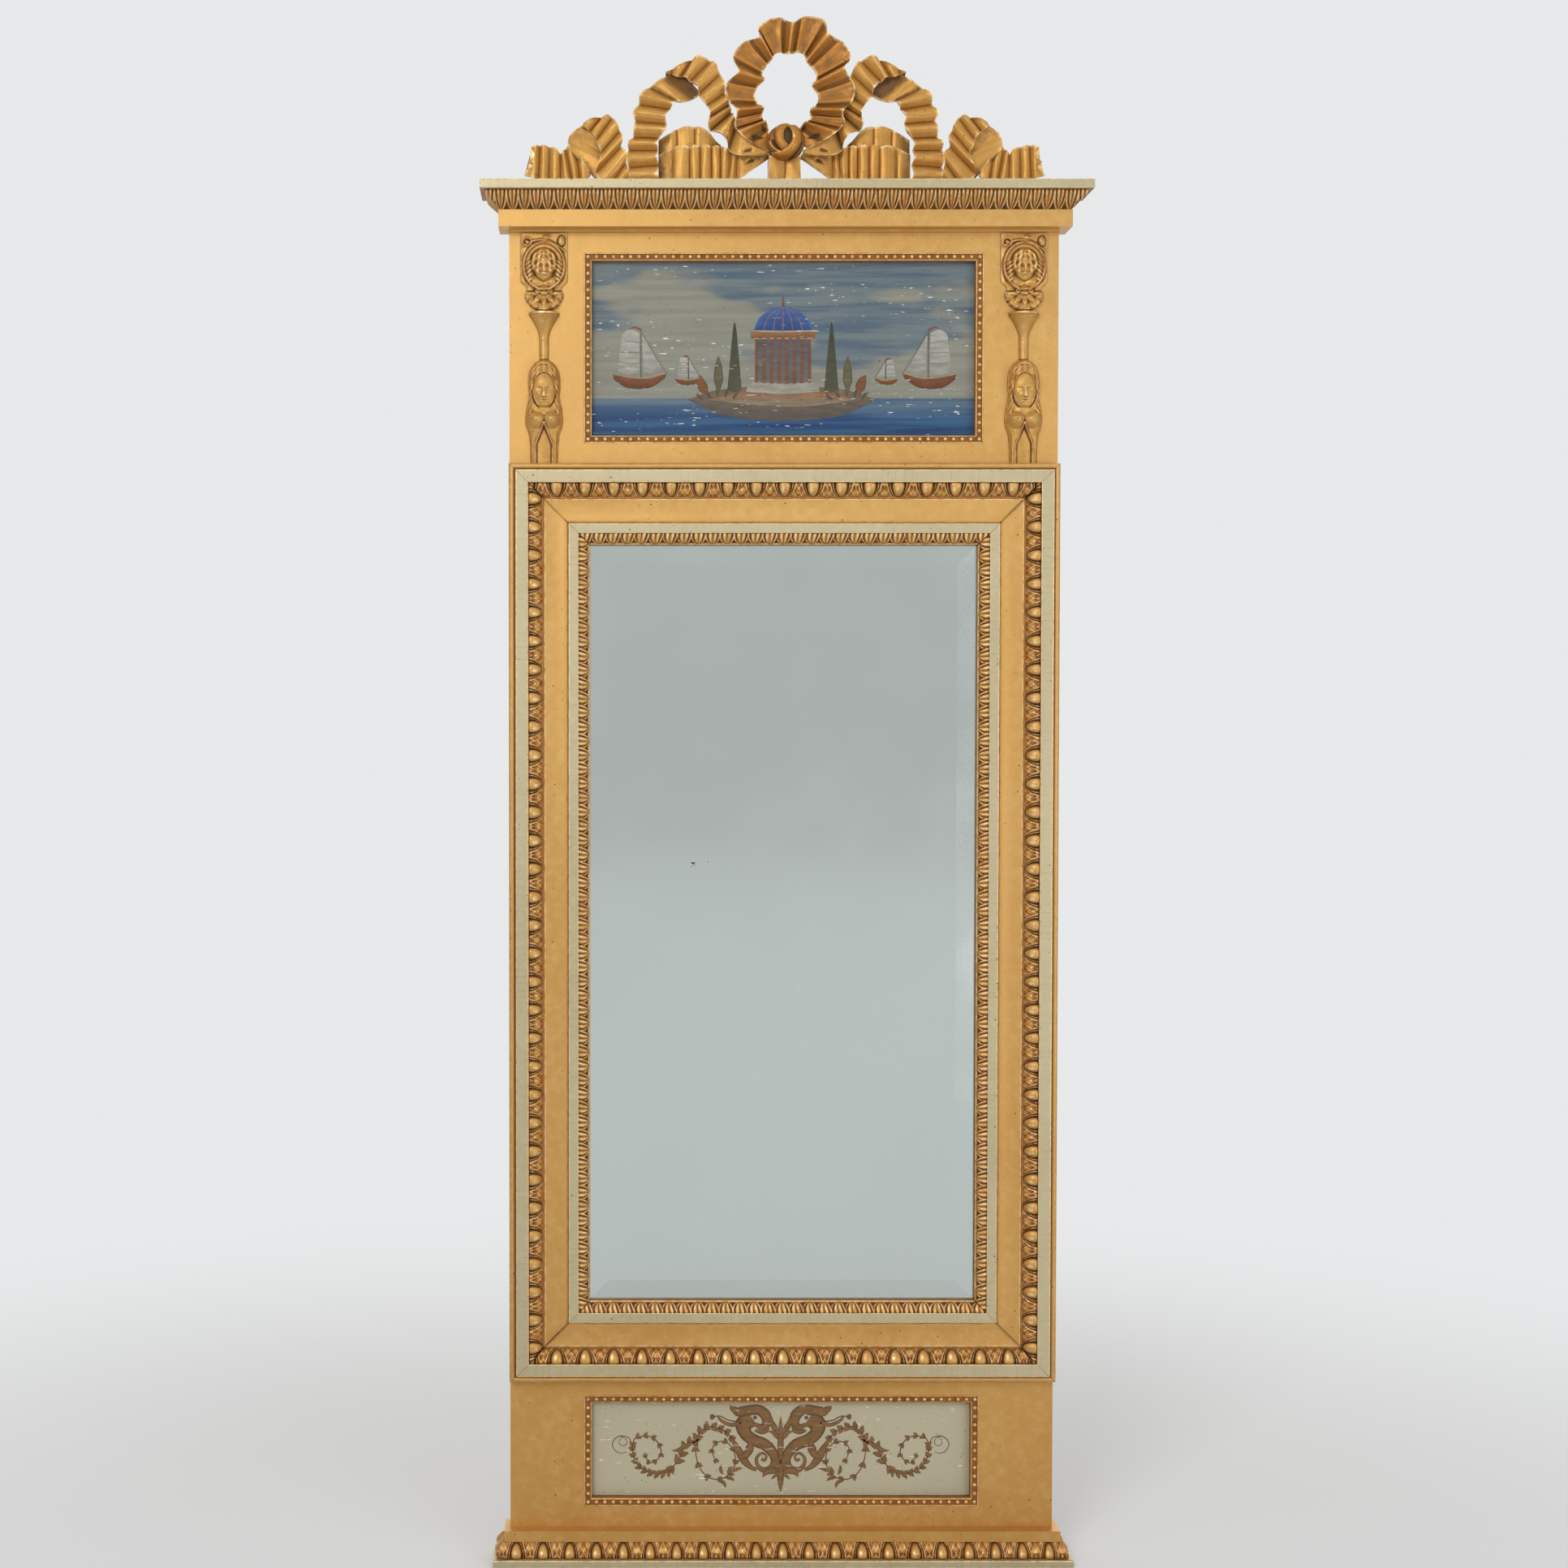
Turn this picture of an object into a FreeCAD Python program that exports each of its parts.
import FreeCAD, Part
import math
import os
import re

import Sketcher
from FreeCAD import Vector

# Carved and gilded pier mirror. Lengths are in millimetres, +Z is up, -Y is the front.
# The origin is the middle of the plinth's underside, and the wall touches the back at
# half the plinth's depth. A depth in the names below is measured forward from that wall.

SIZES = [
    # Carcass
    ("plinth_depth", 64), ("plinth_height", 8.5), ("plinth_overhang", 1.5), ("plinth_step", 4),
    ("carcass_width", 677), ("carcass_depth", 28), ("stile_width", 92),
    ("rail_recess", 10), ("rebate_width", 12),
    ("tenon_length", 35), ("tenon_thickness", 6), ("tenon_shoulder", 8), ("tenon_play", 0.5),
    # Heights from the plinth up
    ("base_egg_height", 18.5), ("base_fascia_height", 13), ("lower_body_height", 186),
    ("frame_height", 1137.5), ("upper_body_height", 284.5), ("bed_fillet_height", 3),
    ("cornice_fascia_height", 20.5), ("leaf_height", 21), ("cornice_board_height", 11.5),
    ("lower_sill", 25.5), ("lower_head", 21),
    ("upper_sill", 26), ("upper_head", 24.5),
    # Base mouldings
    ("base_egg_top_depth", 50), ("base_egg_lip", 2),
    ("base_fascia_depth", 48), ("base_setback", 13),
    # Cornice mouldings
    ("cornice_fascia_depth", 52), ("leaf_depth", 69), ("leaf_lip", 3),
    ("cornice_setback", 11.5), ("bed_fillet_depth", 34),
    ("board_overhang", 5), ("board_step", 7),
    # Mirror frame section, from its outer edge inwards
    ("frame_overhang", 0.5), ("outer_bead_width", 8.5), ("outer_bead_depth", 50),
    ("outer_band_width", 16), ("outer_band_depth", 54), ("egg_strip_width", 19),
    ("egg_seat_depth", 38), ("egg_round_width", 16.5), ("egg_reveal", 0.5), ("quirk_height", 1.5),
    ("flat_width", 30), ("flat_depth", 41.5), ("flat_hollow", 1),
    ("inner_band_width", 12.5), ("inner_band_depth", 44),
    ("sight_width", 13.5), ("sight_depth", 42), ("sight_round_width", 12), ("sight_lip_depth", 33.5),
    # Looking glass and what holds it
    ("glass_gap", 1.5), ("glass_thickness", 5), ("bevel_width", 30), ("bevel_drop", 1),
    ("block_length", 60), ("block_width", 14), ("glass_blocks_per_side", 4),
    ("backboard_thickness", 7), ("backboard_lap", 12), ("backboard_play", 0.5),
    ("middle_board_count", 3),
    # Painted panels and their beaded surrounds
    ("panel_depth", 16), ("panel_thickness", 6), ("panel_play", 0.5),
    ("surround_width", 10), ("surround_depth", 28.5), ("surround_fillet", 2),
    ("bead_radius", 3), ("surround_edge_depth", 25),
    # Carved mounts on the upper stiles
    ("mount_inset", 42.9), ("tile_half_width", 29.3), ("tile_height", 78), ("tile_relief", 5),
    ("tile_top_gap", 1.5), ("oval_half_width", 27), ("oval_half_height", 31), ("oval_relief", 9),
    ("oval_floor_relief", 6),
    ("oval_rise", 36), ("mask_half_width", 13), ("mask_half_height", 21), ("mask_relief", 16),
    ("shell_radius", 24), ("shell_relief", 11), ("shell_root_relief", 6), ("shell_drop", 72),
    ("trumpet_length", 58), ("trumpet_rim_radius", 19), ("trumpet_rim_height", 4),
    ("trumpet_stem_radius", 6), ("trumpet_bell_height", 20), ("trumpet_gap", 0.2),
    ("herm_half_width", 23.5), ("herm_relief", 17),
    # Crest
    ("crest_height", 203), ("crest_shift", 2), ("crest_back_depth", 18),
    ("bow_back_depth", 30), ("bow_front_depth", 42), ("wreath_back_depth", 47),
    ("wreath_front_depth", 56), ("knot_front_depth", 67),
    ("pleat_height", 4), ("wreath_half_width", 76), ("wreath_half_height", 84),
    ("wreath_eye_half_width", 38), ("wreath_eye_half_height", 42.5), ("wreath_lobes", 11.25),
    ("wreath_lobe_swell", 3.5), ("knot_lift", 53), ("knot_half_width", 24),
    ("knot_half_height", 20), ("knot_neck_depth", 54),
    ("bow_span", 194), ("bow_height", 155), ("bow_pleats", 15),
    ("drape_span", 155), ("drape_height", 75), ("drape_pleats", 8), ("drape_tier_depth", 24),
    ("drape_front_depth", 27.5), ("drape_pleat_height", 2.5),
    ("curl_span", 269), ("curl_height", 83), ("curl_pleats", 4),
    ("tail_span", 322), ("tail_height", 50), ("tail_pleats", 7), ("tail_back_depth", 26),
    ("curl_back_depth", 38), ("curl_front_depth", 46), ("tail_front_depth", 34),
    ("stem_half_width", 19), ("stem_groove", 5), ("stem_front_depth", 42),
    ("dowel_radius", 3), ("dowel_reach", 16), ("dowel_fit", 0.1), ("dowel_offset", 92),
    ("dowel_depth", 24),
    # Forged hangers on the back of the top rail
    ("hanger_offset", 150), ("hanger_drop", 30), ("strap_width", 15), ("strap_thickness", 1.5),
    ("strap_tail", 25), ("ring_wire_radius", 2), ("ring_inner_half_width", 11),
    ("ring_side", 6), ("ring_bend_radius", 4), ("ring_play", 0.3),
    ("nail_half_width", 1), ("nail_head_half_width", 2.5), ("nail_crown_half_width", 1),
    ("nail_head_height", 1), ("nail_length", 13), ("nail_point_length", 4), ("nail_tip_half_width", 0.3),
    ("nail_fit", 0.05), ("first_nail_rise", 8), ("nail_spacing", 8),
    # One overrun for every cut
    ("overrun", 2),
]

doc = FreeCAD.newDocument("pier_mirror")
sheet = doc.addObject("Spreadsheet::Sheet", "sizes")
for row, (alias, number) in enumerate(SIZES, 1):
    sheet.set("A%d" % row, alias)
    sheet.set("B%d" % row, str(number))
    sheet.setAlias("B%d" % row, alias)
doc.recompute()

# Derived places, as expressions in the named sizes
WALL = "plinth_depth / 2"
HALF_CARCASS = "(carcass_width / 2)"
HALF_OPENING = "(carcass_width / 2 - stile_width)"
HALF_FRAME = "(carcass_width / 2 + frame_overhang)"
BASE_EGG_DEPTH = "(plinth_depth - plinth_step)"
HALF_PLINTH = "(%s + %s - carcass_depth - base_setback + plinth_overhang)" % (HALF_CARCASS, BASE_EGG_DEPTH)
HALF_BOARD = "(%s + leaf_depth - carcass_depth - cornice_setback + board_overhang)" % HALF_CARCASS
BOARD_DEPTH = "(leaf_depth + board_step)"
Z_FASCIA = "(plinth_height + base_egg_height)"
Z_BODY = "(plinth_height + base_egg_height + base_fascia_height)"
Z_FRAME = "(%s + lower_body_height)" % Z_BODY
Z_UPPER = "(%s + frame_height)" % Z_FRAME
Z_BED = "(%s + upper_body_height)" % Z_UPPER
Z_CORNICE = "(%s + bed_fillet_height)" % Z_BED
Z_LEAF = "(%s + cornice_fascia_height)" % Z_CORNICE
Z_BOARD = "(%s + leaf_height)" % Z_LEAF
Z_CREST = "(%s + cornice_board_height)" % Z_BOARD
Z_WREATH = "(%s + crest_height - wreath_half_height - wreath_lobe_swell)" % Z_CREST
Z_LOWER_OPEN = "(%s + lower_sill)" % Z_BODY
Z_LOWER_TOP = "(%s - lower_head)" % Z_FRAME
Z_UPPER_OPEN = "(%s + upper_sill)" % Z_UPPER
Z_UPPER_TOP = "(%s - upper_head)" % Z_BED
W_BAND = "outer_bead_width"
W_EGG = "(outer_bead_width + outer_band_width)"
W_FLAT = "(%s + egg_strip_width)" % W_EGG
W_INNER = "(%s + flat_width)" % W_FLAT
W_SIGHT = "(%s + inner_band_width)" % W_INNER
W_MEMBER = "(%s + sight_width)" % W_SIGHT
SIGHT_LAP = "(%s - %s + %s)" % (HALF_OPENING, HALF_FRAME, W_MEMBER)
Z_GLASS_OPEN = "(%s + %s - %s)" % (Z_FRAME, W_MEMBER, SIGHT_LAP)
Z_GLASS_TOP = "(%s - %s + %s)" % (Z_UPPER, W_MEMBER, SIGHT_LAP)
STRAP_RADIUS = "(ring_wire_radius + ring_play + strap_thickness)"
PIVOT_DEPTH = "(rail_recess - %s)" % STRAP_RADIUS
Z_PIVOT = "(%s - hanger_drop)" % Z_BOARD


def bound(text):
    """Puts the sheet's name before each named size of an expression, but not before a function's."""
    return re.sub(r"\b[a-z][a-z_]*[a-z]\b(?!\()", lambda match: "sizes." + match.group(0), text)


def size(text):
    """Value of an expression in the named sizes."""
    return float(sheet.evalExpression(bound(text)))


def at_depth(depth):
    """Y of a place that lies the given depth forward of the wall."""
    return "(%s - (%s))" % (WALL, depth)


def tangent_radius(along, across):
    """Radius of an arc that leaves its first point along one direction and gains the other."""
    return "((%s) * (%s) + (%s) * (%s)) / (2 * (%s))" % (along, along, across, across, across)


def new_body(label):
    body = doc.addObject("PartDesign::Body", label)
    body.Label = label
    return body


def arc_between(start, end, radius, counter_clockwise):
    """Minor arc between two points, and which of its ends is the first point."""
    chord = end.sub(start)
    left = Vector(-chord.y, chord.x, 0).normalize()
    rise = math.sqrt(max(radius * radius - chord.Length ** 2 / 4, 0))
    if not counter_clockwise:
        rise = -rise
    centre = start.add(chord.multiply(0.5)).add(left.multiply(rise))
    first, last = (start, end) if counter_clockwise else (end, start)
    angles = [math.atan2(point.y - centre.y, point.x - centre.x) for point in (first, last)]
    if angles[1] < angles[0]:
        angles[1] += 2 * math.pi
    circle = Part.Circle(centre, Vector(0, 0, 1), radius)
    return Part.ArcOfCircle(circle, angles[0], angles[1])


def draw(sketch, corners, arcs):
    """Closed outline through corners given as expressions. An arc is named by the corner that
    it starts from, with its radius and 1 where it swells out of the solid or -1 where it is hollow."""
    points = [Vector(size(across), size(up), 0) for across, up in corners]
    following = points[1:] + points[:1]
    area = sum(a.x * b.y - b.x * a.y for a, b in zip(points, following))
    ends = []
    for index, (start, end) in enumerate(zip(points, following)):
        if index in arcs:
            radius, swell = arcs[index]
            turn_left = (area > 0) == (swell > 0)
            arc = arc_between(start, end, size(radius), turn_left)
            edge = sketch.addGeometry(arc, False)
            ends.append((edge, 1, 2) if turn_left else (edge, 2, 1))
        else:
            edge = sketch.addGeometry(Part.LineSegment(start, end), False)
            ends.append((edge, 1, 2))
    for index, (edge, begin, finish) in enumerate(ends):
        beyond, beyond_begin, _ = ends[(index + 1) % len(ends)]
        sketch.addConstraint(Sketcher.Constraint("Coincident", edge, finish, beyond, beyond_begin))
    for index, (edge, begin, finish) in enumerate(ends):
        across, up = corners[index]
        for kind, text, now in (("DistanceX", across, points[index].x), ("DistanceY", up, points[index].y)):
            place = sketch.addConstraint(Sketcher.Constraint(kind, -1, 1, edge, begin, now))
            sketch.setExpression("Constraints[%d]" % place, bound(text))
        if index in arcs:
            radius = arcs[index][0]
            place = sketch.addConstraint(Sketcher.Constraint("Radius", edge, size(radius)))
            sketch.setExpression("Constraints[%d]" % place, bound(radius))


def corners_around(across, up, radius, sides):
    """Corners of a regular outline about a middle point, the first of them straight across from it."""
    corners = []
    for step in range(sides):
        turn = 2 * math.pi * step / sides
        corners.append((
            "%s + %s * %.6f" % (across, radius, math.cos(turn)),
            "%s + %s * %.6f" % (up, radius, math.sin(turn))))
    return corners


def square(across, up, half):
    """Corners of a square about a middle point."""
    return [
        ("%s + %s * %d" % (across, half, right), "%s + %s * %d" % (up, half, rise))
        for right, rise in ((1, 1), (-1, 1), (-1, -1), (1, -1))
    ]


def new_sketch(body, name, plane, lift="0"):
    """Sketch on one of the body's own origin planes, lifted along the plane's normal."""
    sketch = body.newObject("Sketcher::SketchObject", name)
    support = [face for face in body.Origin.OriginFeatures if face.Role == plane][0]
    sketch.AttachmentSupport = [(support, "")]
    sketch.MapMode = "FlatFace"
    sketch.setExpression("AttachmentOffset.Base.z", bound(lift))
    return sketch


def pad(body, sketch, length, symmetric=False):
    run = body.newObject("PartDesign::Pad", sketch.Name + "_run")
    run.Profile = sketch
    run.SideType = "Symmetric" if symmetric else "One side"
    run.setExpression("Length", bound(length))
    body.Tip = run
    doc.recompute()
    return run


def cut(body, sketch, depth=None, reverse=False):
    """Pocket through everything both ways, or to a depth from the sketch's plane."""
    before = body.Shape.Volume
    pocket = body.newObject("PartDesign::Pocket", sketch.Name + "_cut")
    pocket.Profile = sketch
    if depth is None:
        pocket.Type = "ThroughAll"
        pocket.SideType = "Symmetric"
    else:
        pocket.Type = "Length"
        pocket.Reversed = reverse
        pocket.setExpression("Length", bound(depth))
    body.Tip = pocket
    doc.recompute()
    if not body.Shape.Volume < before:
        raise RuntimeError("cut removes nothing: " + body.Label)
    return pocket


def bar(label, plane, corners, lift, length, arcs=None):
    """Straight piece with one section along its whole length."""
    body = new_body(label)
    sketch = new_sketch(body, label + "_section", plane, lift)
    draw(sketch, corners, arcs or {})
    pad(body, sketch, length)
    return body


def slab(label, left, right, back, front, low, high):
    """Plain board between two X, two depths and two heights."""
    board = doc.addObject("Part::Box", label)
    board.Label = label
    board.setExpression("Length", bound("(%s) - (%s)" % (right, left)))
    board.setExpression("Width", bound("(%s) - (%s)" % (front, back)))
    board.setExpression("Height", bound("(%s) - (%s)" % (high, low)))
    board.setExpression(".Placement.Base.x", bound(left))
    board.setExpression(".Placement.Base.y", bound(at_depth(front)))
    board.setExpression(".Placement.Base.z", bound(low))
    return board


def group(label, members):
    """Several separate solids that share one name."""
    bundle = doc.addObject("Part::Compound", label)
    bundle.Label = label
    bundle.Links = members
    return bundle


def solid(label, shape):
    piece = doc.addObject("Part::Feature", label)
    piece.Label = label
    piece.Shape = shape
    return piece


# Mouldings that frame an opening, with mitred corners

def mitre(body, plane_name, triangles):
    sketch = new_sketch(body, plane_name, "XZ_Plane")
    for triangle in triangles:
        draw(sketch, triangle, {})
    cut(body, sketch)


def framing_strip(label, edge, half, low, high, width, section, arcs=None):
    """One side of a mitred frame. The section gives width inwards from the frame's outer edge
    and depth from the wall, and the mitre lines run at half a right angle from its corners."""
    reach = "(%s + overrun)" % width
    if edge in ("top", "bottom"):
        sign, level, away = ("-", high, "+") if edge == "top" else ("+", low, "-")
        corners = [(at_depth(depth), "%s %s (%s)" % (level, sign, inward)) for inward, depth in section]
        body = bar(label, "YZ_Plane", corners, "-(%s)" % half, "2 * (%s)" % half, arcs)
        outer = "%s %s overrun" % (level, away)
        inner = "%s %s %s" % (level, sign, reach)
        triangles = []
        for side in ("-1", "1"):
            far = "%s * (%s + overrun)" % (side, half)
            near = "%s * (%s - %s)" % (side, half, reach)
            triangles.append([(far, outer), (far, inner), (near, inner)])
    else:
        side = "-1" if edge == "left" else "1"
        corners = [("%s * (%s - (%s))" % (side, half, inward), at_depth(depth)) for inward, depth in section]
        body = bar(label, "XY_Plane", corners, low, "%s - %s" % (high, low), arcs)
        far = "%s * (%s + overrun)" % (side, half)
        near = "%s * (%s - %s)" % (side, half, reach)
        triangles = [
            [(far, "%s - overrun" % low), (near, "%s + %s" % (low, reach)), (near, "%s - overrun" % low)],
            [(far, "%s + overrun" % high), (near, "%s - %s" % (high, reach)), (near, "%s + overrun" % high)],
        ]
    mitre(body, label + "_mitre", triangles)
    return body


EDGES = ("top", "bottom", "left", "right")
BEAD_HALF = "(outer_bead_width / 2)"
FRAME_SECTION = [
    ("0", "carcass_depth"), ("0", "outer_bead_depth - %s" % BEAD_HALF),
    (BEAD_HALF, "outer_bead_depth"), (W_BAND, "outer_bead_depth - %s" % BEAD_HALF),
    (W_BAND, "outer_band_depth"), (W_EGG, "outer_band_depth"),
    (W_EGG, "egg_seat_depth"), (W_FLAT, "egg_seat_depth"),
    (W_FLAT, "flat_depth"), (W_INNER, "flat_depth"),
    (W_INNER, "inner_band_depth"), (W_SIGHT, "inner_band_depth"),
    (W_SIGHT, "carcass_depth"),
]
FRAME_ARCS = {
    1: (BEAD_HALF, 1),
    2: (BEAD_HALF, 1),
    8: ("((flat_width * flat_width / 4 + flat_hollow * flat_hollow) / (2 * flat_hollow))", -1),
}
EGG_TOE = "(egg_seat_depth + quirk_height)"
EGG_SECTION = [
    (W_EGG, "egg_seat_depth"), (W_EGG, "outer_band_depth - egg_reveal"),
    ("%s + egg_round_width" % W_EGG, EGG_TOE), (W_FLAT, EGG_TOE), (W_FLAT, "egg_seat_depth"),
]
EGG_ARCS = {1: (tangent_radius("egg_round_width", "outer_band_depth - egg_reveal - %s" % EGG_TOE), 1)}
SIGHT_SECTION = [
    (W_SIGHT, "carcass_depth"), (W_SIGHT, "sight_depth"),
    ("%s + sight_round_width" % W_SIGHT, "sight_lip_depth"), (W_MEMBER, "sight_lip_depth"),
    (W_MEMBER, "carcass_depth"),
]
SIGHT_ARCS = {1: (tangent_radius("sight_round_width", "sight_depth - sight_lip_depth"), 1)}


def mirror_frame():
    for edge in EDGES:
        for name, section, arcs in (
            ("frame_moulding", FRAME_SECTION, FRAME_ARCS),
            ("egg_moulding", EGG_SECTION, EGG_ARCS),
            ("sight_moulding", SIGHT_SECTION, SIGHT_ARCS),
        ):
            framing_strip(
                "%s_%s" % (name, edge), edge, HALF_FRAME, Z_FRAME, Z_UPPER,
                W_MEMBER, section, arcs)


BEAD_CROWN = "(surround_depth + bead_radius)"
SURROUND_SECTION = [
    ("0", "panel_depth"), ("0", "surround_depth"), ("surround_fillet", "surround_depth"),
    ("surround_fillet + bead_radius", BEAD_CROWN),
    ("surround_fillet + 2 * bead_radius", "surround_depth"),
    ("surround_width", "surround_edge_depth"), ("surround_width", "panel_depth"),
]
SURROUND_ARCS = {2: ("bead_radius", 1), 3: ("bead_radius", 1)}


def beaded_surround(label, low, high):
    strips = []
    for edge in EDGES:
        strips.append(framing_strip(
            "%s_%s" % (label, edge), edge, HALF_OPENING, low, high,
            "surround_width", SURROUND_SECTION, SURROUND_ARCS))
    return group(label, strips)


# Mouldings that return along the sides, mitred in plan

def plan_corner(front, setback):
    """Half length of a front moulding, and the depth where its mitre meets the carcass's side."""
    half = "(%s + %s - carcass_depth - %s)" % (HALF_CARCASS, front, setback)
    inner = "(%s - (%s - %s))" % (front, half, HALF_CARCASS)
    return half, inner


def returning_moulding(label, front, setback, section, arcs):
    """Front strip and two side returns of one moulding. The section gives how far each point
    lies behind the moulding's foremost face, and its height. The last two points are the back."""
    half, inner = plan_corner(front, setback)
    pieces = []
    corners = [(at_depth("%s - (%s)" % (front, behind)), up) for behind, up in section]
    corners += [(at_depth("carcass_depth"), section[-1][1]), (at_depth("carcass_depth"), section[0][1])]
    body = bar(label + "_front", "YZ_Plane", corners, "-(%s)" % half, "2 * %s" % half, arcs)
    sketch = new_sketch(body, label + "_front_mitre", "XY_Plane")
    for side in ("-1", "1"):
        draw(sketch, [
            ("%s * (%s + overrun)" % (side, half), at_depth("%s + overrun" % front)),
            ("%s * %s" % (side, HALF_CARCASS), at_depth(inner)),
            ("%s * %s" % (side, HALF_CARCASS), at_depth("carcass_depth - overrun")),
            ("%s * (%s + overrun)" % (side, half), at_depth("carcass_depth - overrun")),
        ], {})
    cut(body, sketch)
    pieces.append(body)
    for side, hand in (("-1", "left"), ("1", "right")):
        corners = [("%s * (%s - (%s))" % (side, half, behind), up) for behind, up in section]
        corners += [("%s * %s" % (side, HALF_CARCASS), section[-1][1]),
                    ("%s * %s" % (side, HALF_CARCASS), section[0][1])]
        name = "%s_%s" % (label, hand)
        body = bar(name, "XZ_Plane", corners, "-(%s)" % WALL, front, arcs)
        sketch = new_sketch(body, name + "_mitre", "XY_Plane")
        draw(sketch, [
            ("%s * (%s + overrun)" % (side, half), at_depth("%s + overrun" % front)),
            ("%s * (%s - overrun)" % (side, HALF_CARCASS), at_depth("%s - overrun" % inner)),
            ("%s * (%s - overrun)" % (side, HALF_CARCASS), at_depth("%s + overrun" % front)),
        ], {})
        cut(body, sketch)
        pieces.append(body)
    return pieces


def base():
    slab("plinth", "-" + HALF_PLINTH, HALF_PLINTH, "0", "plinth_depth", "0", "plinth_height")
    step = "(%s - base_egg_top_depth)" % BASE_EGG_DEPTH
    rise = "(base_egg_height - base_egg_lip)"
    section = [
        ("0", "plinth_height"), ("0", "plinth_height + base_egg_lip"),
        (step, Z_FASCIA),
    ]
    arcs = {1: (tangent_radius(rise, step), 1)}
    eggs = returning_moulding("base_egg_strip", BASE_EGG_DEPTH, "base_setback", section, arcs)
    group("base_egg_moulding", eggs)
    section = [("0", Z_FASCIA), ("0", Z_BODY)]
    boards = returning_moulding("base_fascia_board", "base_fascia_depth", "base_setback", section, {})
    group("base_fascia", boards)


def cornice():
    step = "(leaf_depth - cornice_fascia_depth)"
    rise = "(leaf_height - leaf_lip)"
    section = [(step, Z_LEAF), ("0", "%s - leaf_lip" % Z_BOARD), ("0", Z_BOARD)]
    arcs = {0: (tangent_radius(rise, step), 1)}
    returning_moulding("leaf_moulding", "leaf_depth", "cornice_setback", section, arcs)
    section = [("0", Z_CORNICE), ("0", Z_LEAF)]
    boards = returning_moulding(
        "cornice_fascia_board", "cornice_fascia_depth", "cornice_setback", section, {})
    group("cornice_fascia", boards)
    slab("bed_fillet", "-" + HALF_CARCASS, HALF_CARCASS, "carcass_depth", "bed_fillet_depth", Z_BED, Z_CORNICE)
    board = new_body("cornice_board")
    sketch = new_sketch(board, "cornice_board_plan", "XY_Plane", Z_BOARD)
    draw(sketch, [
        ("-" + HALF_BOARD, at_depth("0")), (HALF_BOARD, at_depth("0")),
        (HALF_BOARD, at_depth(BOARD_DEPTH)), ("-" + HALF_BOARD, at_depth(BOARD_DEPTH)),
    ], {})
    pad(board, sketch, "cornice_board_height")
    sketch = new_sketch(board, "cornice_board_dowel_holes", "XY_Plane")
    for place in DOWEL_PLACES:
        draw(sketch, corners_around(place, at_depth("dowel_depth"), DOWEL_HOLE_RADIUS, DOWEL_SIDES), {})
    cut(board, sketch)


# Carcass of two stiles and four rails, mortised and tenoned

RAILS = [
    ("rail_bottom", "plinth_height", Z_LOWER_OPEN),
    ("rail_lower", Z_LOWER_TOP, Z_GLASS_OPEN),
    ("rail_upper", Z_GLASS_TOP, Z_UPPER_OPEN),
    ("rail_top", Z_UPPER_TOP, Z_BOARD),
]
TENON_BACK = "((rail_recess + carcass_depth - tenon_thickness) / 2)"
TENON_FRONT = "(%s + tenon_thickness)" % TENON_BACK
DOWEL_SIDES = 8
DOWEL_HOLE_RADIUS = "(dowel_radius + dowel_fit)"
NAIL_HOLE_HALF_WIDTH = "(nail_half_width + nail_fit)"
DOWEL_PLACES = ["crest_shift", "crest_shift - dowel_offset", "crest_shift + dowel_offset"]
NAIL_RISES = ["first_nail_rise", "(first_nail_rise + nail_spacing)"]
HANGER_SIDES = (("-1", "left"), ("1", "right"))


def rectangle(back, front, low, high):
    """Corners of a rectangle in a plane square to X."""
    return [(at_depth(back), low), (at_depth(front), low), (at_depth(front), high), (at_depth(back), high)]


def carcass():
    for label, low, high in RAILS:
        body = new_body(label)
        sketch = new_sketch(body, label + "_section", "YZ_Plane", "-" + HALF_OPENING)
        draw(sketch, rectangle("rail_recess", "carcass_depth", low, high), {})
        pad(body, sketch, "2 * " + HALF_OPENING)
        sketch = new_sketch(body, label + "_tenons", "YZ_Plane", "-(%s + tenon_length)" % HALF_OPENING)
        tenon = rectangle(TENON_BACK, TENON_FRONT, "%s + tenon_shoulder" % low, "%s - tenon_shoulder" % high)
        draw(sketch, tenon, {})
        pad(body, sketch, "2 * (%s + tenon_length)" % HALF_OPENING)
        if label == "rail_top":
            sketch = new_sketch(body, "nail_holes", "XZ_Plane", "-" + at_depth("rail_recess"))
            for side, _ in HANGER_SIDES:
                for rise in NAIL_RISES:
                    middle = "%s * hanger_offset" % side
                    draw(sketch, square(middle, "%s + %s" % (Z_PIVOT, rise), NAIL_HOLE_HALF_WIDTH), {})
            cut(body, sketch, "nail_length - strap_thickness", reverse=True)
    for side, hand in HANGER_SIDES:
        label = "stile_" + hand
        inner = "%s * %s" % (side, HALF_OPENING)
        notch = "%s * (%s + rebate_width)" % (side, HALF_OPENING)
        outer = "%s * %s" % (side, HALF_CARCASS)
        body = bar(label, "XY_Plane", [
            (inner, at_depth("carcass_depth")), (outer, at_depth("carcass_depth")),
            (outer, at_depth("0")), (notch, at_depth("0")),
            (notch, at_depth("rail_recess")), (inner, at_depth("rail_recess")),
        ], "plinth_height", "%s - plinth_height" % Z_BOARD)
        sketch = new_sketch(body, label + "_mortises", "YZ_Plane", inner)
        for _, low, high in RAILS:
            draw(sketch, rectangle(
                TENON_BACK, TENON_FRONT, "%s + tenon_shoulder" % low, "%s - tenon_shoulder" % high), {})
        cut(body, sketch, "tenon_length + tenon_play", reverse=(hand == "right"))


# Looking glass, panels and backboards

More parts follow.
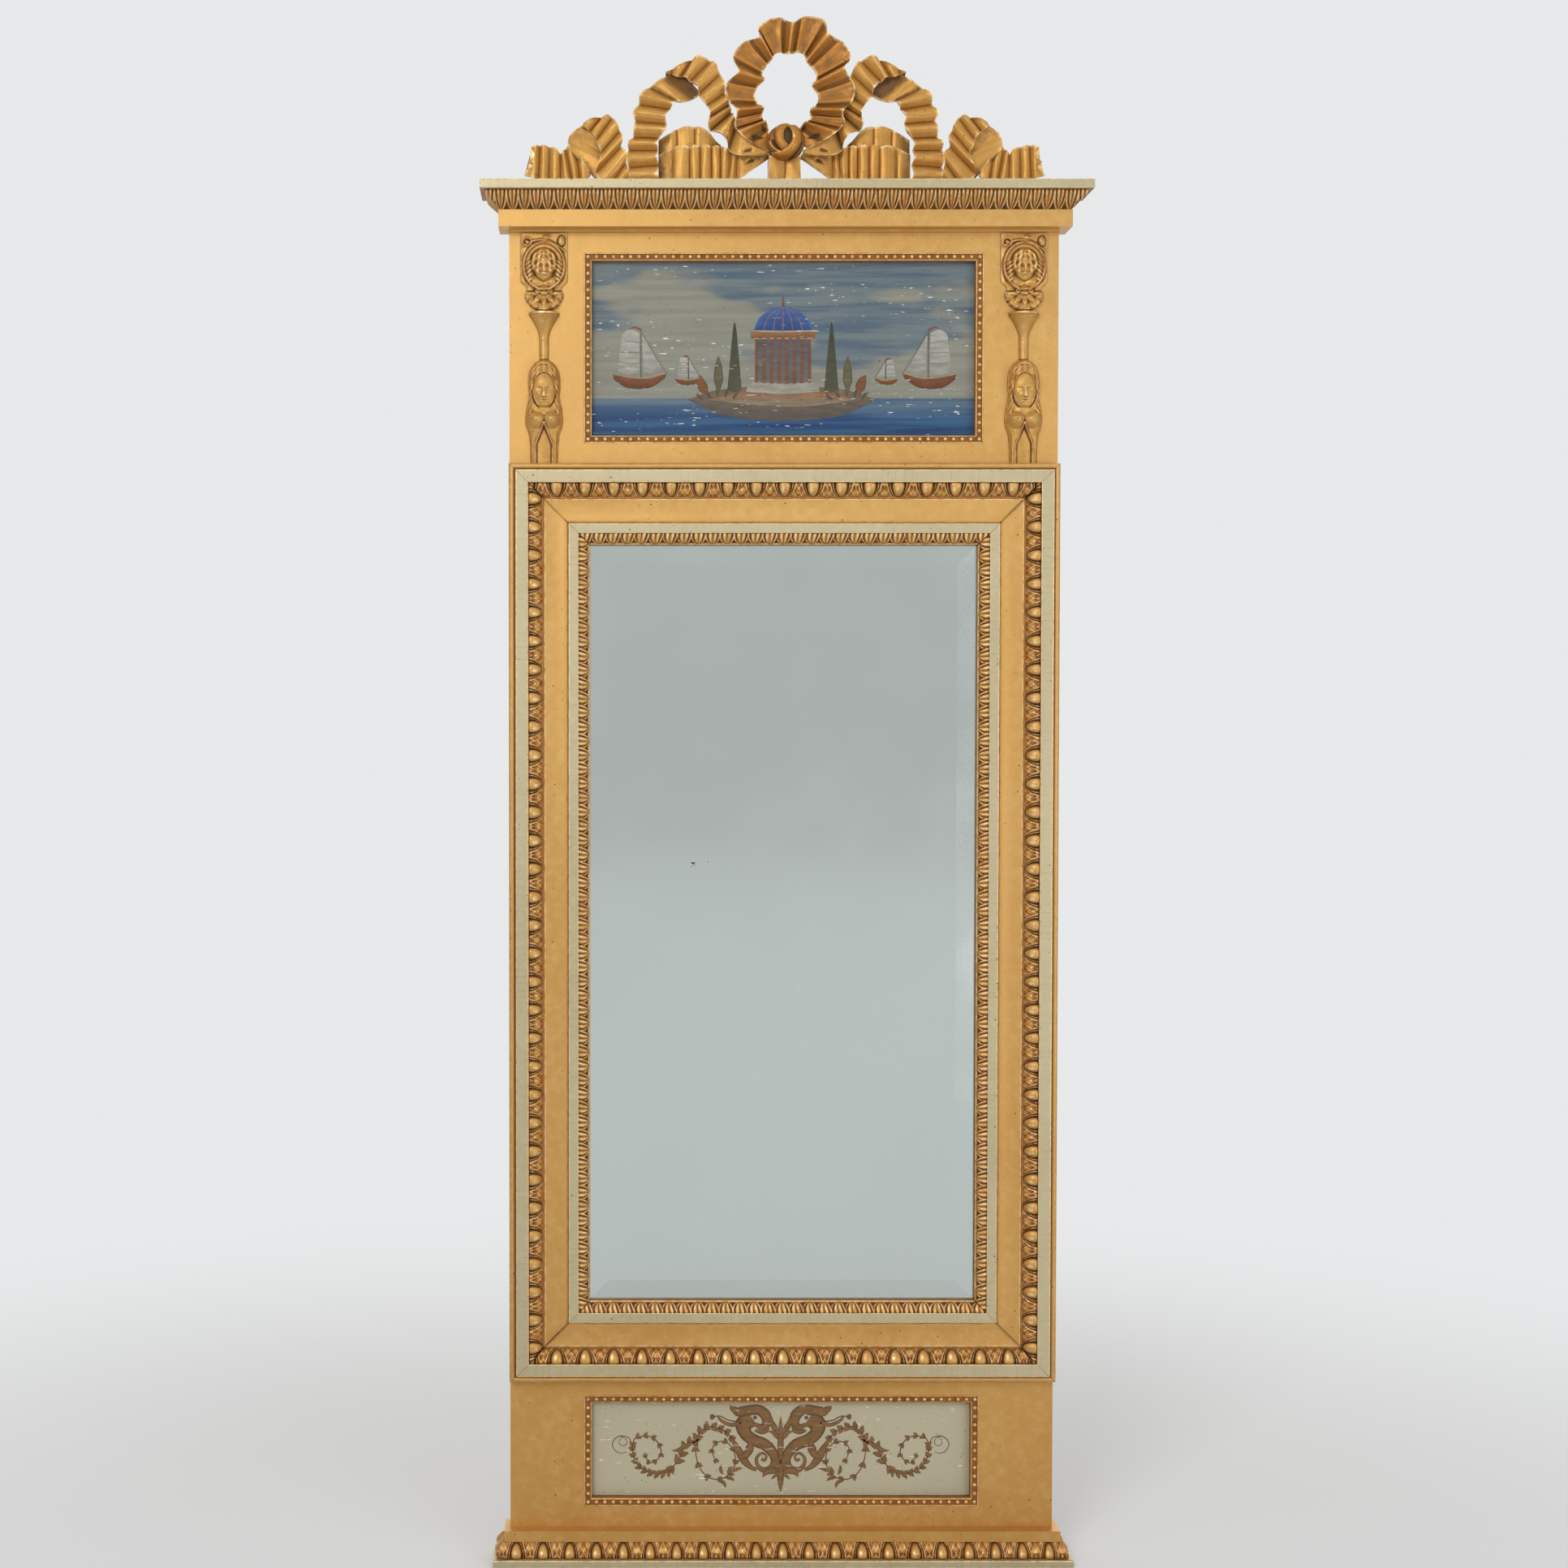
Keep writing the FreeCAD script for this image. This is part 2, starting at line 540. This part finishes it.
def looking_glass():
    half = "(%s - glass_gap)" % HALF_OPENING
    low = "(%s + glass_gap)" % Z_GLASS_OPEN
    high = "(%s - glass_gap)" % Z_GLASS_TOP
    body = new_body("mirror_glass")
    front = at_depth("carcass_depth")
    sketch = new_sketch(body, "mirror_glass_outline", "XZ_Plane", "-" + at_depth("carcass_depth - glass_thickness"))
    draw(sketch, [("-" + half, low), (half, low), (half, high), ("-" + half, high)], {})
    plate = pad(body, sketch, "glass_thickness")
    face = min(range(len(plate.Shape.Faces)), key=lambda index: plate.Shape.Faces[index].CenterOfMass.y)
    bevel = body.newObject("PartDesign::Chamfer", "bevel")
    bevel.Base = (plate, ["Face%d" % (face + 1)])
    bevel.ChamferType = "Two distances"
    bevel.setExpression("Size", bound("bevel_width"))
    bevel.setExpression("Size2", bound("bevel_drop"))
    body.Tip = bevel
    doc.recompute()
    foremost = body.Shape.Faces[0]
    for candidate in body.Shape.Faces:
        if candidate.CenterOfMass.y < foremost.CenterOfMass.y:
            foremost = candidate
    width = foremost.BoundBox.XLength
    if abs(width - size("2 * (%s - bevel_width)" % half)) > size("bevel_drop"):
        bevel.FlipDirection = not bevel.FlipDirection
        doc.recompute()
    blocks = []
    count = int(size("glass_blocks_per_side"))
    back = "(rail_recess)"
    rear = "(carcass_depth - glass_thickness)"
    for index in range(count):
        middle = "(%s + (%s - %s) * %s)" % (low, high, low, (index + 0.5) / count)
        for side, hand in HANGER_SIDES:
            edges = ["%s * %s" % (side, HALF_OPENING), "%s * (%s - block_width)" % (side, HALF_OPENING)]
            if hand == "right":
                edges.reverse()
            blocks.append(slab(
                "glass_block_%s_%d" % (hand, index), edges[0], edges[1], back, rear,
                "%s - block_length / 2" % middle, "%s + block_length / 2" % middle))
    for side, hand in HANGER_SIDES:
        middle = "(%s * %s / 2)" % (side, HALF_OPENING)
        blocks.append(slab(
            "setting_block_" + hand, "%s - block_length / 2" % middle, "%s + block_length / 2" % middle,
            back, "carcass_depth - bevel_drop", Z_GLASS_OPEN, low))
    group("glass_blocks", blocks)


def panels_and_boards():
    for label, low, high in (
        ("painted_panel_lower", Z_LOWER_OPEN, Z_LOWER_TOP),
        ("painted_panel_upper", Z_UPPER_OPEN, Z_UPPER_TOP),
    ):
        half = "(%s - panel_play)" % HALF_OPENING
        slab(label, "-" + half, half, "panel_depth - panel_thickness", "panel_depth",
             "%s + panel_play" % low, "%s - panel_play" % high)
    half = "(%s + rebate_width - backboard_play)" % HALF_OPENING
    back = "rail_recess - backboard_thickness"
    spans = (
        ("backboard_lower", Z_LOWER_OPEN, Z_LOWER_TOP, 1),
        ("backboard_middle", Z_GLASS_OPEN, Z_GLASS_TOP, int(size("middle_board_count"))),
        ("backboard_upper", Z_UPPER_OPEN, Z_UPPER_TOP, 1),
    )
    for label, low, high, count in spans:
        bottom = "(%s - backboard_lap)" % low
        height = "(%s - %s + 2 * backboard_lap)" % (high, low)
        boards = []
        for index in range(count):
            start = "%s + %s * %d / %d" % (bottom, height, index, count)
            stop = "%s + %s * %d / %d - backboard_play" % (bottom, height, index + 1, count)
            name = label if count == 1 else "%s_%d" % (label, index)
            boards.append(slab(name, "-" + half, half, back, "rail_recess", start, stop))
        if count > 1:
            group(label, boards)


# Carving built up from sections of few corners, joined by flat facets

def faceted(sections, closed=False):
    """Solid through a row of sections that all have as many corners, or through a ring of them."""
    faces = []
    if not closed:
        faces = [Part.Face(Part.makePolygon(ring + [ring[0]])) for ring in (sections[0], sections[-1])]
    following = sections[1:] + (sections[:1] if closed else [])
    for here, there in zip(sections, following):
        for index, corner in enumerate(here):
            beyond = (index + 1) % len(here)
            for facet in ([corner, here[beyond], there[beyond]], [corner, there[beyond], there[index]]):
                if (facet[1] - facet[0]).cross(facet[2] - facet[0]).Length > 0:
                    faces.append(Part.Face(Part.makePolygon(facet + [facet[0]])))
    shell = Part.makeShell(faces)
    shell.sewShape()
    shape = Part.makeSolid(shell)
    if shape.Volume < 0:
        shape.reverse()
    return shape.removeSplitter()


def blend(points, place):
    """Smooth line through points at even steps, read at a place from 0 to 1."""
    spans = len(points) - 1
    at = min(max(place, 0), 1) * spans
    index = min(int(at), spans - 1)
    t = at - index
    before = points[max(index - 1, 0)]
    after = points[min(index + 2, spans)]
    here = points[index]
    there = points[index + 1]
    out = []
    for a, b, c, d in zip(before, here, there, after):
        out.append(0.5 * (2 * b + (c - a) * t + (2 * a - 5 * b + 4 * c - d) * t * t
                          + (3 * b - a - 3 * c + d) * t * t * t))
    return out


STATIONS_PER_PLEAT = 4
WREATH_GAP_SHARE = 0.14
KNOT_SIDES = 16
FIGURE_SIDES = 8
TRUMPET_SIDES = 12
BELL_STEPS = 6
SHELL_FLUTES = 7
SHELL_FURROW_SHARE = 0.93
SHELL_HEART_SHARE = 0.1
ROD_SIDES = 12
BEND_STEPS = 3
ARCH_STEPS = 14
KNUCKLE_SIDES = 12

# Oval boss: width, then how far it rises from the stile, from the tile's face to the dished floor
OVAL_SHARES = [(1.0, "tile_relief"), (1.0, "oval_relief"), (0.87, "oval_relief"), (0.81, "oval_floor_relief")]
# Carved figures: height, half width and relief, as shares of the figure's own sizes
HERM_SHARES = [
    (0.00, 0.70, 0.45), (0.12, 0.72, 0.48), (0.26, 0.78, 0.55), (0.34, 0.95, 0.72),
    (0.42, 1.00, 0.80), (0.49, 0.96, 0.68), (0.53, 0.82, 0.50), (0.57, 0.62, 0.60),
    (0.62, 0.64, 0.88), (0.72, 0.76, 1.00), (0.83, 0.88, 0.98), (0.91, 0.80, 0.85),
    (0.97, 0.50, 0.60), (1.00, 0.18, 0.30),
]
MASK_SHARES = [
    (-1.00, 0.20, 0.45), (-0.86, 0.60, 0.72), (-0.55, 0.86, 0.90), (-0.10, 1.00, 1.00),
    (0.40, 0.98, 0.96), (0.78, 0.78, 0.80), (1.00, 0.25, 0.45),
]


def half_round_figure(centre, base, height, half_width, relief, shares, sides):
    """Figure in half relief on the stile: half ovals stacked up, flat against the face behind."""
    ground = size(at_depth("carcass_depth"))
    sections = []
    for up, width, rise in shares:
        row = []
        for index in range(sides + 1):
            turn = math.pi * index / sides
            row.append(Vector(
                centre + half_width * width * math.cos(turn),
                ground - relief * rise * math.sin(turn),
                base + height * up))
        sections.append(row)
    return faceted(sections)


def shell_fan(centre, top):
    """Scallop shell on the stile: ridges and furrows that fan out below a straight hinge."""
    ground = size(at_depth("carcass_depth"))
    radius = size("shell_radius")
    root = size("shell_root_relief")
    steps = SHELL_FLUTES * 2
    sections = []
    for index in range(steps + 1):
        turn = math.pi + math.pi * index / steps
        ridge = index % 2
        reach = radius if ridge else radius * SHELL_FURROW_SHARE
        rise = size("shell_relief") if ridge else root
        away = Vector(math.cos(turn), 0, math.sin(turn))
        hinge = Vector(centre, ground, top)
        heart = hinge + away * (radius * SHELL_HEART_SHARE)
        edge = hinge + away * reach
        sections.append([heart, heart - Vector(0, root, 0), edge - Vector(0, rise, 0), edge])
    return faceted(sections)


def oval_boss(centre, middle):
    """Raised oval ring round a dished floor, rooted in the tile."""
    ground = size(at_depth("carcass_depth"))
    rings = []
    for share, rise in OVAL_SHARES:
        ring = []
        for step in range(KNOT_SIDES):
            turn = 2 * math.pi * step / KNOT_SIDES
            ring.append(Vector(
                centre + size("oval_half_width") * share * math.cos(turn), ground - size(rise),
                middle + size("oval_half_height") * share * math.sin(turn)))
        rings.append(ring)
    return faceted(rings)


def trumpet_shares():
    """Straight stem, then a bell that flares on a quarter oval to an upright rim."""
    length = size("trumpet_length")
    stem_share = size("trumpet_stem_radius / trumpet_rim_radius")
    bell_base = size("trumpet_length - trumpet_rim_height - trumpet_bell_height")
    shares = [(0, stem_share, stem_share)]
    for step in range(BELL_STEPS + 1):
        turn = math.pi / 2 * step / BELL_STEPS
        width = stem_share + (1 - stem_share) * (1 - math.cos(turn))
        shares.append(((bell_base + size("trumpet_bell_height") * math.sin(turn)) / length, width, width))
    return shares + [(1, 1, 1)]


def stile_mounts():
    for side, hand in HANGER_SIDES:
        centre = "(%s * (%s - mount_inset))" % (side, HALF_CARCASS)
        tile_top = "(%s - tile_top_gap)" % Z_BED
        tile_low = "(%s - tile_height)" % tile_top
        body = new_body("cartouche_tile_" + hand)
        sketch = new_sketch(body, "tile_outline_" + hand, "XZ_Plane", "-" + at_depth("carcass_depth"))
        left = "%s - tile_half_width" % centre
        right = "%s + tile_half_width" % centre
        shoulder = "(%s + tile_half_width)" % tile_low
        draw(sketch, [
            (left, tile_top), (left, shoulder), (centre, tile_low), (right, shoulder), (right, tile_top),
        ], {1: ("tile_half_width", 1), 2: ("tile_half_width", 1)})
        pad(body, sketch, "tile_relief")
        across = size(centre)
        middle = size("%s - oval_rise" % tile_top)
        mask = half_round_figure(
            across, middle, size("mask_half_height"), size("mask_half_width"), size("mask_relief"),
            MASK_SHARES, FIGURE_SIDES)
        shell = shell_fan(across, size("%s - shell_drop" % tile_top))
        face = solid("cartouche_carving_" + hand, oval_boss(across, middle).fuse([mask, shell]))
        cartouche = doc.addObject("Part::MultiFuse", "cartouche_" + hand)
        cartouche.Label = "cartouche_" + hand
        cartouche.Shapes = [body, face]
        doc.recompute()

        trumpet_low = size("%s - shell_drop - shell_radius - trumpet_gap - trumpet_length" % tile_top)
        herm_foot = size(Z_UPPER)
        solid("trumpet_" + hand, half_round_figure(
            across, trumpet_low, size("trumpet_length"), size("trumpet_rim_radius"),
            size("trumpet_rim_radius"), trumpet_shares(), TRUMPET_SIDES))
        solid("herm_" + hand, half_round_figure(
            across, herm_foot, trumpet_low - herm_foot, size("herm_half_width"),
            size("herm_relief"), HERM_SHARES, FIGURE_SIDES))


# Crest of pleated ribbon, as shares of each piece's own span and height

BOW_SHARES = [
    # inner edge across, inner edge up, outer edge across, outer edge up
    (0.10, 0.22, 0.10, 0.36),
    (0.20, 0.20, 0.19, 0.38),
    (0.31, 0.20, 0.26, 0.43),
    (0.39, 0.32, 0.30, 0.50),
    (0.47, 0.45, 0.33, 0.61),
    (0.50, 0.59, 0.37, 0.77),
    (0.54, 0.68, 0.45, 0.92),
    (0.60, 0.70, 0.57, 1.00),
    (0.68, 0.67, 0.73, 0.91),
    (0.72, 0.58, 0.87, 0.79),
    (0.76, 0.47, 0.94, 0.62),
    (0.79, 0.33, 0.96, 0.44),
    (0.81, 0.20, 0.98, 0.24),
    (0.80, 0.00, 1.00, 0.00),
]
DRAPE_SHARES = [
    # across, lower edge, front tier top, back tier top
    (1.00, 0.00, 0.60, 0.82),
    (0.90, 0.00, 0.66, 0.91),
    (0.80, 0.00, 0.68, 0.99),
    (0.70, 0.00, 0.68, 1.00),
    (0.60, 0.00, 0.67, 0.93),
    (0.50, 0.00, 0.64, 0.72),
    (0.36, 0.10, 0.52, 0.56),
    (0.26, 0.26, 0.51, 0.54),
    (0.15, 0.42, 0.49, 0.51),
]
CURL_SHARES = [
    # near edge across, near edge up, far edge across, far edge up
    (0.745, 0.46, 0.87, 0.06),
    (0.752, 0.70, 0.86, 0.40),
    (0.79, 0.91, 0.90, 0.62),
    (0.84, 0.99, 0.955, 0.80),
    (0.93, 1.00, 1.00, 0.90),
]
TAIL_SHARES = [
    # across, lower edge, upper edge
    (0.615, 0.00, 0.90),
    (0.68, 0.00, 0.55),
    (0.74, 0.00, 0.50),
    (0.83, 0.00, 0.92),
    (0.87, 0.00, 0.80),
    (0.91, 0.00, 0.92),
    (0.955, 0.00, 1.00),
]
# Knot's dome: how far it rises between neck and front, and its width there
KNOT_SHARES = [(0.35, 0.94), (0.65, 0.76), (0.88, 0.48), (1.00, 0.25)]
# Stem's front: across its half width, and how far it sinks into the groove
STEM_SHARES = [(-1.00, 1), (-0.85, 0), (-0.20, 0), (0.00, 1), (0.20, 0), (0.85, 0), (1.00, 1)]
# Back tier of a drape: its pleats beside those in front, and the slope of the step up to it
TIER_PLEAT_SHARE = 0.4
TIER_STEP_SHARE = 0.02
TAIL_FORK_SHARES = [(0.97, 0.92), (0.958, 0.69), (0.982, 0.55), (0.967, 0.41), (1.00, 0.16), (0.985, 0.00)]


def crest_at(across, depth, up):
    """Point of the crest, from its middle line, from the wall and from the cornice board."""
    return Vector(size("crest_shift") + across, size(WALL) - depth, size(Z_CREST) + up)


def knot_outline(depth, width_share):
    """Oval of many sides round the knot's middle."""
    ring = []
    for step in range(KNOT_SIDES):
        turn = 2 * math.pi * (step + 0.5) / KNOT_SIDES
        ring.append(crest_at(
            size("knot_half_width") * width_share * math.cos(turn), depth,
            size("knot_lift") + size("knot_half_height") * width_share * math.sin(turn)))
    return ring


def knot():
    neck = size("knot_neck_depth")
    rise = size("knot_front_depth") - neck
    sections = [knot_outline(size("crest_back_depth"), 1), knot_outline(neck, 1)]
    for share, width_share in KNOT_SHARES:
        sections.append(knot_outline(neck + rise * share, width_share))
    return faceted(sections)


def strip_section(inner, outer, back, face):
    """Section of a flat ribbon between two edge points that are given across and up."""
    return [
        crest_at(inner[0], back, inner[1]), crest_at(inner[0], face, inner[1]),
        crest_at(outer[0], face, outer[1]), crest_at(outer[0], back, outer[1]),
    ]


def ribbon(name, shares, side):
    """Pleated ribbon. Its two edges follow the shares, and its face waves across the pleats."""
    pleats = size(name + "_pleats")
    steps = int(pleats * STATIONS_PER_PLEAT)
    width = side * size(name + "_span")
    height = size(name + "_height")
    sections = []
    for step in range(steps + 1):
        place = step / steps
        inner_across, inner_up, outer_across, outer_up = blend(shares, place)
        face = size(name + "_front_depth") + size("pleat_height") * math.cos(2 * math.pi * pleats * place)
        inner = (width * inner_across, height * max(inner_up, 0))
        outer = (width * outer_across, height * max(outer_up, 0))
        sections.append(strip_section(inner, outer, size(name + "_back_depth"), face))
    return faceted(sections)


def wreath():
    """Ring of lobed ribbon with a notch at the top, open at the bottom where its ends enter the knot."""
    middle = size("%s - %s" % (Z_WREATH, Z_CREST))
    lobes = size("wreath_lobes")
    steps = int(lobes * STATIONS_PER_PLEAT)
    span = 2 * math.pi - 2 * WREATH_GAP_SHARE
    sections = []
    for step in range(steps + 1):
        turn = WREATH_GAP_SHARE - math.pi + span * step / steps
        swell = -math.cos(lobes * turn)
        face = size("wreath_front_depth") + size("pleat_height") * swell
        lobe = size("wreath_lobe_swell") * swell
        outer = (
            (size("wreath_half_width") + lobe) * math.sin(turn),
            middle + (size("wreath_half_height") + lobe) * math.cos(turn))
        inner = (
            size("wreath_eye_half_width") * math.sin(turn),
            middle + size("wreath_eye_half_height") * math.cos(turn))
        sections.append(strip_section(inner, outer, size("wreath_back_depth"), face))
    return faceted(sections)


def drape(side):
    """Hanging fold in two tiers, flat at the back and pleated in front."""
    width = side * size("drape_span")
    height = size("drape_height")
    pleats = int(size("drape_pleats"))
    steps = pleats * STATIONS_PER_PLEAT
    back = size("crest_back_depth")
    sections = []
    for step in range(steps + 1):
        place = step / steps
        across, low, middle, top = blend(DRAPE_SHARES, place)
        pleat = size("drape_pleat_height") * math.cos(2 * math.pi * pleats * place)
        face = size("drape_front_depth") + pleat
        shelf = size("drape_tier_depth") + TIER_PLEAT_SHARE * pleat
        low_up = height * max(low, 0)
        corners = [
            (back, low_up), (face, low_up), (face, height * middle),
            (shelf, height * (middle + TIER_STEP_SHARE)), (shelf, height * top), (back, height * top),
        ]
        sections.append([crest_at(width * across, depth, up) for depth, up in corners])
    return faceted(sections)


def tail(side):
    """Ribbon's end lying along the board, pleated upright and cut to a fork."""
    width = side * size("tail_span")
    height = size("tail_height")
    pleats = int(size("tail_pleats"))
    steps = pleats * STATIONS_PER_PLEAT
    back = size("tail_back_depth")
    front = size("tail_front_depth")
    sections = []
    for step in range(steps + 1):
        place = step / steps
        across, low, top = blend(TAIL_SHARES, place)
        face = front + size("pleat_height") * math.cos(2 * math.pi * pleats * place)
        sections.append(strip_section(
            (width * across, height * max(low, 0)), (width * across, height * top), back, face))
    root_across, root_low, root_top = TAIL_SHARES[-1]
    outline = [(root_across, root_top)] + TAIL_FORK_SHARES + [(root_across, root_low)]
    points = [crest_at(width * across, back, height * up) for across, up in outline]
    thickness = front + size("pleat_height") - back
    fork = Part.Face(Part.makePolygon(points + [points[0]])).extrude(Vector(0, -thickness, 0))
    return faceted(sections).fuse(fork).removeSplitter()


def stem():
    """Two short ribbon ends side by side below the knot."""
    half = size("stem_half_width")
    back = size("crest_back_depth")
    front = size("stem_front_depth")
    outline = [(half * share, front - size("stem_groove") * sunk) for share, sunk in STEM_SHARES]
    outline = [(-half, back)] + outline + [(half, back)]
    points = [crest_at(across, depth, 0) for across, depth in outline]
    return Part.Face(Part.makePolygon(points + [points[0]])).extrude(Vector(0, 0, size("knot_lift")))


def dowel_hole(place):
    """Many-sided hole for a dowel, up into the crest from the underside of the board."""
    corners = []
    for across, depth in corners_around(place, "dowel_depth", DOWEL_HOLE_RADIUS, DOWEL_SIDES):
        corners.append(Vector(size(across), size(at_depth(depth)), size(Z_BOARD)))
    length = size("cornice_board_height + dowel_reach + dowel_fit")
    return Part.Face(Part.makePolygon(corners + [corners[0]])).extrude(Vector(0, 0, length))


def crest():
    block = faceted([
        knot_outline(size("crest_back_depth - overrun"), 1),
        knot_outline(size("knot_front_depth + overrun"), 1),
    ])
    dowels = []
    for place in DOWEL_PLACES:
        dowel = doc.addObject("Part::Prism", "crest_dowel_%d" % len(dowels))
        dowel.Polygon = DOWEL_SIDES
        dowel.setExpression("Circumradius", bound("dowel_radius"))
        dowel.setExpression("Height", bound("cornice_board_height + dowel_reach"))
        dowel.setExpression(".Placement.Base.x", bound(place))
        dowel.setExpression(".Placement.Base.y", bound(at_depth("dowel_depth")))
        dowel.setExpression(".Placement.Base.z", bound(Z_BOARD))
        dowels.append(dowel)
    group("crest_dowels", dowels)
    holes = [dowel_hole(place) for place in DOWEL_PLACES]
    solid("crest_knot", knot())
    solid("crest_wreath", wreath().cut(block))
    solid("crest_stem", stem().cut(block).cut(holes[0]))
    for side, hand, hole in ((-1, "left", holes[1]), (1, "right", holes[2])):
        solid("crest_bow_" + hand, ribbon("bow", BOW_SHARES, side).cut(block))
        solid("crest_drape_" + hand, drape(side).cut(block).cut(hole))
        solid("crest_curl_" + hand, ribbon("curl", CURL_SHARES, side))
        solid("crest_tail_" + hand, tail(side))


# Hangers: a strap nailed to the rail, folded round the straight side of a ring

def bend_points(start, stop, steps, centre_across, centre_down, radius):
    """Places along a bend, each with the direction that faces out of the ring there."""
    places = []
    for step in range(steps + 1):
        turn = start + (stop - start) * step / steps
        away = (math.sin(turn), -math.cos(turn))
        places.append((centre_across + radius * away[0], centre_down + radius * away[1], away))
    return places


def ring_rod(across):
    """Round iron bent to a ring with one straight side, hanging down from that side."""
    half = size("ring_inner_half_width + ring_wire_radius")
    bend = size("ring_bend_radius")
    drop = size("ring_side") + bend
    radius = size("ring_wire_radius")
    quarter = math.pi / 2
    line = bend_points(0, quarter, BEND_STEPS, half - bend, bend, bend)
    line += bend_points(quarter, 3 * quarter, ARCH_STEPS, 0, drop, half)
    line += bend_points(3 * quarter, 4 * quarter, BEND_STEPS, bend - half, bend, bend)
    sections = []
    for right, down, away in line:
        centre = Vector(across + right, size(at_depth(PIVOT_DEPTH)), size(Z_PIVOT) - down)
        ring = []
        for step in range(ROD_SIDES):
            turn = 2 * math.pi * (step + 0.5) / ROD_SIDES
            outward = Vector(away[0], 0, -away[1]) * (radius * math.cos(turn))
            ring.append(centre + outward + Vector(0, radius * math.sin(turn), 0))
        sections.append(ring)
    return faceted(sections, closed=True)


def hanger_nail(place, level):
    """Forged nail: rose head on the strap, square shank and drawn point in the rail."""
    seat = "rail_recess - strap_thickness"
    profile = [
        (seat + " - nail_head_height", "nail_crown_half_width"),
        (seat, "nail_head_half_width"), (seat, "nail_half_width"),
        (seat + " + nail_length - nail_point_length", "nail_half_width"),
        (seat + " + nail_length", "nail_tip_half_width"),
    ]
    sections = []
    for depth, half in profile:
        corners = square(place, level, half)
        sections.append([Vector(size(right), size(at_depth(depth)), size(up)) for right, up in corners])
    return faceted(sections)


def hangers():
    pivot = at_depth(PIVOT_DEPTH)
    join = "sqrt(%s * %s - (%s - strap_thickness) * (%s - strap_thickness))" % ((STRAP_RADIUS,) * 4)
    outside = corners_around(pivot, Z_PIVOT, STRAP_RADIUS, KNUCKLE_SIDES)
    quarter = KNUCKLE_SIDES // 4
    knuckle = outside[2 * quarter:] + outside[:quarter + 1]
    bore_radius = "((ring_wire_radius + ring_play) / %.6f)" % math.cos(math.pi / KNUCKLE_SIDES)
    nails = []
    for side, hand in HANGER_SIDES:
        place = "%s * hanger_offset" % side
        strap = new_body("hanger_strap_" + hand)
        sketch = new_sketch(strap, "strap_section_" + hand, "YZ_Plane", "%s - strap_width / 2" % place)
        draw(sketch, [(at_depth("rail_recess"), "%s + strap_tail" % Z_PIVOT)] + knuckle + [
            (at_depth("rail_recess - strap_thickness"), "%s + %s" % (Z_PIVOT, join)),
            (at_depth("rail_recess - strap_thickness"), "%s + strap_tail" % Z_PIVOT),
        ], {})
        draw(sketch, corners_around(pivot, Z_PIVOT, bore_radius, KNUCKLE_SIDES), {})
        pad(strap, sketch, "strap_width")
        holes = new_sketch(strap, "strap_holes_" + hand, "XZ_Plane")
        for rise in NAIL_RISES:
            level = "%s + %s" % (Z_PIVOT, rise)
            draw(holes, square(place, level, NAIL_HOLE_HALF_WIDTH), {})
            nails.append(solid("hanger_nail_%s_%d" % (hand, len(nails)), hanger_nail(place, level)))
        cut(strap, holes)
        solid("hanger_ring_" + hand, ring_rod(size(place)))
    group("hanger_nails", nails)


base()
carcass()
panels_and_boards()
beaded_surround("beaded_surround_lower", Z_LOWER_OPEN, Z_LOWER_TOP)
beaded_surround("beaded_surround_upper", Z_UPPER_OPEN, Z_UPPER_TOP)
mirror_frame()
looking_glass()
cornice()
stile_mounts()
crest()
hangers()
doc.recompute()

NODES = (
    ["plinth", "base_egg_moulding", "base_fascia"]
    + ["stile_left", "stile_right"] + [label for label, _, _ in RAILS]
    + ["painted_panel_lower", "painted_panel_upper"]
    + ["backboard_lower", "backboard_middle", "backboard_upper"]
    + ["beaded_surround_lower", "beaded_surround_upper"]
    + ["%s_%s" % (name, edge) for name in ("frame_moulding", "egg_moulding", "sight_moulding") for edge in EDGES]
    + ["mirror_glass", "glass_blocks"]
    + ["bed_fillet", "cornice_fascia", "leaf_moulding_front", "leaf_moulding_left", "leaf_moulding_right",
       "cornice_board"]
    + ["%s_%s" % (name, hand) for name in ("cartouche", "trumpet", "herm") for _, hand in HANGER_SIDES]
    + ["crest_wreath", "crest_knot", "crest_stem", "crest_dowels"]
    + ["crest_%s_%s" % (name, hand) for name in ("bow", "drape", "curl", "tail") for _, hand in HANGER_SIDES]
    + ["%s_%s" % (name, hand) for name in ("hanger_strap", "hanger_ring") for _, hand in HANGER_SIDES]
    + ["hanger_nails"]
)

for piece in doc.Objects:
    if "Invalid" in piece.State or "Error" in piece.State:
        raise RuntimeError("failed piece: %s %s" % (piece.Label, piece.State))
shapes = {}
for label in NODES:
    shape = doc.getObjectsByLabel(label)[0].Shape
    if shape.isNull() or not shape.isValid():
        raise RuntimeError("bad shape: " + label)
    shapes[label] = shape
os.makedirs("parts", exist_ok=True)
for label, shape in shapes.items():
    shape.exportStep("parts/%s.step" % label)
    print("%-26s solids %d volume %.1f" % (label, len(shape.Solids), shape.Volume))
print("nodes", len(NODES))
